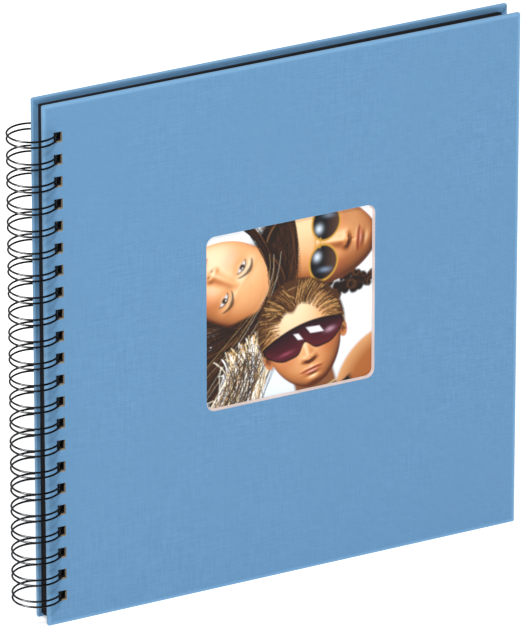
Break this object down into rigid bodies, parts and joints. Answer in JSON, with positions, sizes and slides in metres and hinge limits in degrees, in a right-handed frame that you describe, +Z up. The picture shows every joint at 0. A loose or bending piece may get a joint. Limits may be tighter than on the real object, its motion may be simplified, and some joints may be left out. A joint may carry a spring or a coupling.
{
  "type": "scrapbook album",
  "caption": "Square hardback scrapbook album with cloth covers, a picture window in the front, black card leaves and a black twin-loop wire binding.",
  "frame": {"origin": "on the standing plane, midway between the wire's outside at the spine and the fore edge, on the loops' middle line in depth", "axes": "+Z up along the spine, -Y out of the front cover, -X towards the binding"},
  "size_m": [0.3028, 0.0274, 0.302],
  "materials": {
    "book_cloth": "plain-weave light blue book cloth, glued over board, soft matt",
    "greyboard": "raw tan greyboard, seen only in the punched holes and the window's rim",
    "black_card": "dyed-through black card, matt and slightly fibrous",
    "glossy_print": "glossy coated photographic print",
    "coated_wire": "steel wire with a glossy black nylon coating"
  },
  "bodies": {
    "binding_wire": {"binding_wire": "coated_wire"},
    "front_cover": {"front_board": "greyboard", "front_cloth": "book_cloth", "front_endpaper": "black_card", "cover_picture": "glossy_print"},
    "back_cover": {"back_board": "greyboard", "back_cloth": "book_cloth", "back_endpaper": "black_card"},
    "leaf_01": {"page_01": "black_card"},
    "leaf_02": {"page_02": "black_card"},
    "leaf_03": {"page_03": "black_card"},
    "leaf_04": {"page_04": "black_card"},
    "leaf_05": {"page_05": "black_card"},
    "leaf_06": {"page_06": "black_card"},
    "leaf_07": {"page_07": "black_card"},
    "leaf_08": {"page_08": "black_card"},
    "leaf_09": {"page_09": "black_card"},
    "leaf_10": {"page_10": "black_card"},
    "leaf_11": {"page_11": "black_card"},
    "leaf_12": {"page_12": "black_card"},
    "leaf_13": {"page_13": "black_card"},
    "leaf_14": {"page_14": "black_card"},
    "leaf_15": {"page_15": "black_card"},
    "leaf_16": {"page_16": "black_card"},
    "leaf_17": {"page_17": "black_card"},
    "leaf_18": {"page_18": "black_card"},
    "leaf_19": {"page_19": "black_card"},
    "leaf_20": {"page_20": "black_card"},
    "leaf_21": {"page_21": "black_card"},
    "leaf_22": {"page_22": "black_card"},
    "leaf_23": {"page_23": "black_card"},
    "leaf_24": {"page_24": "black_card"},
    "leaf_25": {"page_25": "black_card"}
  },
  "joints": [
    {"name": "front_cover_hinge", "type": "hinge", "parent": "binding_wire", "child": "front_cover", "pos_m": [-0.13762, 0, 0.151], "axis": [0, 0, -1], "range_deg": [0, 180]},
    {"name": "back_cover_hinge", "type": "hinge", "parent": "binding_wire", "child": "back_cover", "pos_m": [-0.13762, 0, 0.151], "axis": [0, 0, 1], "range_deg": [0, 8]},
    {"name": "leaf_01_hinge", "type": "hinge", "parent": "binding_wire", "child": "leaf_01", "pos_m": [-0.13762, 0, 0.151], "axis": [0, 0, -1], "range_deg": [0, 173.12]},
    {"name": "leaf_02_hinge", "type": "hinge", "parent": "binding_wire", "child": "leaf_02", "pos_m": [-0.13762, 0, 0.151], "axis": [0, 0, -1], "range_deg": [0, 166.21]},
    {"name": "leaf_03_hinge", "type": "hinge", "parent": "binding_wire", "child": "leaf_03", "pos_m": [-0.13762, 0, 0.151], "axis": [0, 0, -1], "range_deg": [0, 159.28]},
    {"name": "leaf_04_hinge", "type": "hinge", "parent": "binding_wire", "child": "leaf_04", "pos_m": [-0.13762, 0, 0.151], "axis": [0, 0, -1], "range_deg": [0, 152.37]},
    {"name": "leaf_05_hinge", "type": "hinge", "parent": "binding_wire", "child": "leaf_05", "pos_m": [-0.13762, 0, 0.151], "axis": [0, 0, -1], "range_deg": [0, 145.44]},
    {"name": "leaf_06_hinge", "type": "hinge", "parent": "binding_wire", "child": "leaf_06", "pos_m": [-0.13762, 0, 0.151], "axis": [0, 0, -1], "range_deg": [0, 138.51]},
    {"name": "leaf_07_hinge", "type": "hinge", "parent": "binding_wire", "child": "leaf_07", "pos_m": [-0.13762, 0, 0.151], "axis": [0, 0, -1], "range_deg": [0, 131.59]},
    {"name": "leaf_08_hinge", "type": "hinge", "parent": "binding_wire", "child": "leaf_08", "pos_m": [-0.13762, 0, 0.151], "axis": [0, 0, -1], "range_deg": [0, 124.66]},
    {"name": "leaf_09_hinge", "type": "hinge", "parent": "binding_wire", "child": "leaf_09", "pos_m": [-0.13762, 0, 0.151], "axis": [0, 0, -1], "range_deg": [0, 117.73]},
    {"name": "leaf_10_hinge", "type": "hinge", "parent": "binding_wire", "child": "leaf_10", "pos_m": [-0.13762, 0, 0.151], "axis": [0, 0, -1], "range_deg": [0, 110.82]},
    {"name": "leaf_11_hinge", "type": "hinge", "parent": "binding_wire", "child": "leaf_11", "pos_m": [-0.13762, 0, 0.151], "axis": [0, 0, -1], "range_deg": [0, 103.89]},
    {"name": "leaf_12_hinge", "type": "hinge", "parent": "binding_wire", "child": "leaf_12", "pos_m": [-0.13762, 0, 0.151], "axis": [0, 0, -1], "range_deg": [0, 96.98]},
    {"name": "leaf_13_hinge", "type": "hinge", "parent": "binding_wire", "child": "leaf_13", "pos_m": [-0.13762, 0, 0.151], "axis": [0, 0, -1], "range_deg": [0, 90.05]},
    {"name": "leaf_14_hinge", "type": "hinge", "parent": "binding_wire", "child": "leaf_14", "pos_m": [-0.13762, 0, 0.151], "axis": [0, 0, -1], "range_deg": [0, 83.12]},
    {"name": "leaf_15_hinge", "type": "hinge", "parent": "binding_wire", "child": "leaf_15", "pos_m": [-0.13762, 0, 0.151], "axis": [0, 0, -1], "range_deg": [0, 76.21]},
    {"name": "leaf_16_hinge", "type": "hinge", "parent": "binding_wire", "child": "leaf_16", "pos_m": [-0.13762, 0, 0.151], "axis": [0, 0, -1], "range_deg": [0, 69.28]},
    {"name": "leaf_17_hinge", "type": "hinge", "parent": "binding_wire", "child": "leaf_17", "pos_m": [-0.13762, 0, 0.151], "axis": [0, 0, -1], "range_deg": [0, 62.37]},
    {"name": "leaf_18_hinge", "type": "hinge", "parent": "binding_wire", "child": "leaf_18", "pos_m": [-0.13762, 0, 0.151], "axis": [0, 0, -1], "range_deg": [0, 55.44]},
    {"name": "leaf_19_hinge", "type": "hinge", "parent": "binding_wire", "child": "leaf_19", "pos_m": [-0.13762, 0, 0.151], "axis": [0, 0, -1], "range_deg": [0, 48.51]},
    {"name": "leaf_20_hinge", "type": "hinge", "parent": "binding_wire", "child": "leaf_20", "pos_m": [-0.13762, 0, 0.151], "axis": [0, 0, -1], "range_deg": [0, 41.59]},
    {"name": "leaf_21_hinge", "type": "hinge", "parent": "binding_wire", "child": "leaf_21", "pos_m": [-0.13762, 0, 0.151], "axis": [0, 0, -1], "range_deg": [0, 34.66]},
    {"name": "leaf_22_hinge", "type": "hinge", "parent": "binding_wire", "child": "leaf_22", "pos_m": [-0.13762, 0, 0.151], "axis": [0, 0, -1], "range_deg": [0, 27.73]},
    {"name": "leaf_23_hinge", "type": "hinge", "parent": "binding_wire", "child": "leaf_23", "pos_m": [-0.13762, 0, 0.151], "axis": [0, 0, -1], "range_deg": [0, 20.82]},
    {"name": "leaf_24_hinge", "type": "hinge", "parent": "binding_wire", "child": "leaf_24", "pos_m": [-0.13762, 0, 0.151], "axis": [0, 0, -1], "range_deg": [0, 13.89]},
    {"name": "leaf_25_hinge", "type": "hinge", "parent": "binding_wire", "child": "leaf_25", "pos_m": [-0.13762, 0, 0.151], "axis": [0, 0, -1], "range_deg": [0, 6.98]}
  ],
  "couplings": [
    {"joint": "leaf_01_hinge", "follows": "front_cover_hinge", "ratio": 0.9615},
    {"joint": "leaf_02_hinge", "follows": "front_cover_hinge", "ratio": 0.9231},
    {"joint": "leaf_03_hinge", "follows": "front_cover_hinge", "ratio": 0.8846},
    {"joint": "leaf_04_hinge", "follows": "front_cover_hinge", "ratio": 0.8462},
    {"joint": "leaf_05_hinge", "follows": "front_cover_hinge", "ratio": 0.8077},
    {"joint": "leaf_06_hinge", "follows": "front_cover_hinge", "ratio": 0.7692},
    {"joint": "leaf_07_hinge", "follows": "front_cover_hinge", "ratio": 0.7308},
    {"joint": "leaf_08_hinge", "follows": "front_cover_hinge", "ratio": 0.6923},
    {"joint": "leaf_09_hinge", "follows": "front_cover_hinge", "ratio": 0.6538},
    {"joint": "leaf_10_hinge", "follows": "front_cover_hinge", "ratio": 0.6154},
    {"joint": "leaf_11_hinge", "follows": "front_cover_hinge", "ratio": 0.5769},
    {"joint": "leaf_12_hinge", "follows": "front_cover_hinge", "ratio": 0.5385},
    {"joint": "leaf_13_hinge", "follows": "front_cover_hinge", "ratio": 0.5},
    {"joint": "leaf_14_hinge", "follows": "front_cover_hinge", "ratio": 0.4615},
    {"joint": "leaf_15_hinge", "follows": "front_cover_hinge", "ratio": 0.4231},
    {"joint": "leaf_16_hinge", "follows": "front_cover_hinge", "ratio": 0.3846},
    {"joint": "leaf_17_hinge", "follows": "front_cover_hinge", "ratio": 0.3462},
    {"joint": "leaf_18_hinge", "follows": "front_cover_hinge", "ratio": 0.3077},
    {"joint": "leaf_19_hinge", "follows": "front_cover_hinge", "ratio": 0.2692},
    {"joint": "leaf_20_hinge", "follows": "front_cover_hinge", "ratio": 0.2308},
    {"joint": "leaf_21_hinge", "follows": "front_cover_hinge", "ratio": 0.1923},
    {"joint": "leaf_22_hinge", "follows": "front_cover_hinge", "ratio": 0.1538},
    {"joint": "leaf_23_hinge", "follows": "front_cover_hinge", "ratio": 0.1154},
    {"joint": "leaf_24_hinge", "follows": "front_cover_hinge", "ratio": 0.0769},
    {"joint": "leaf_25_hinge", "follows": "front_cover_hinge", "ratio": 0.0385}
  ]
}
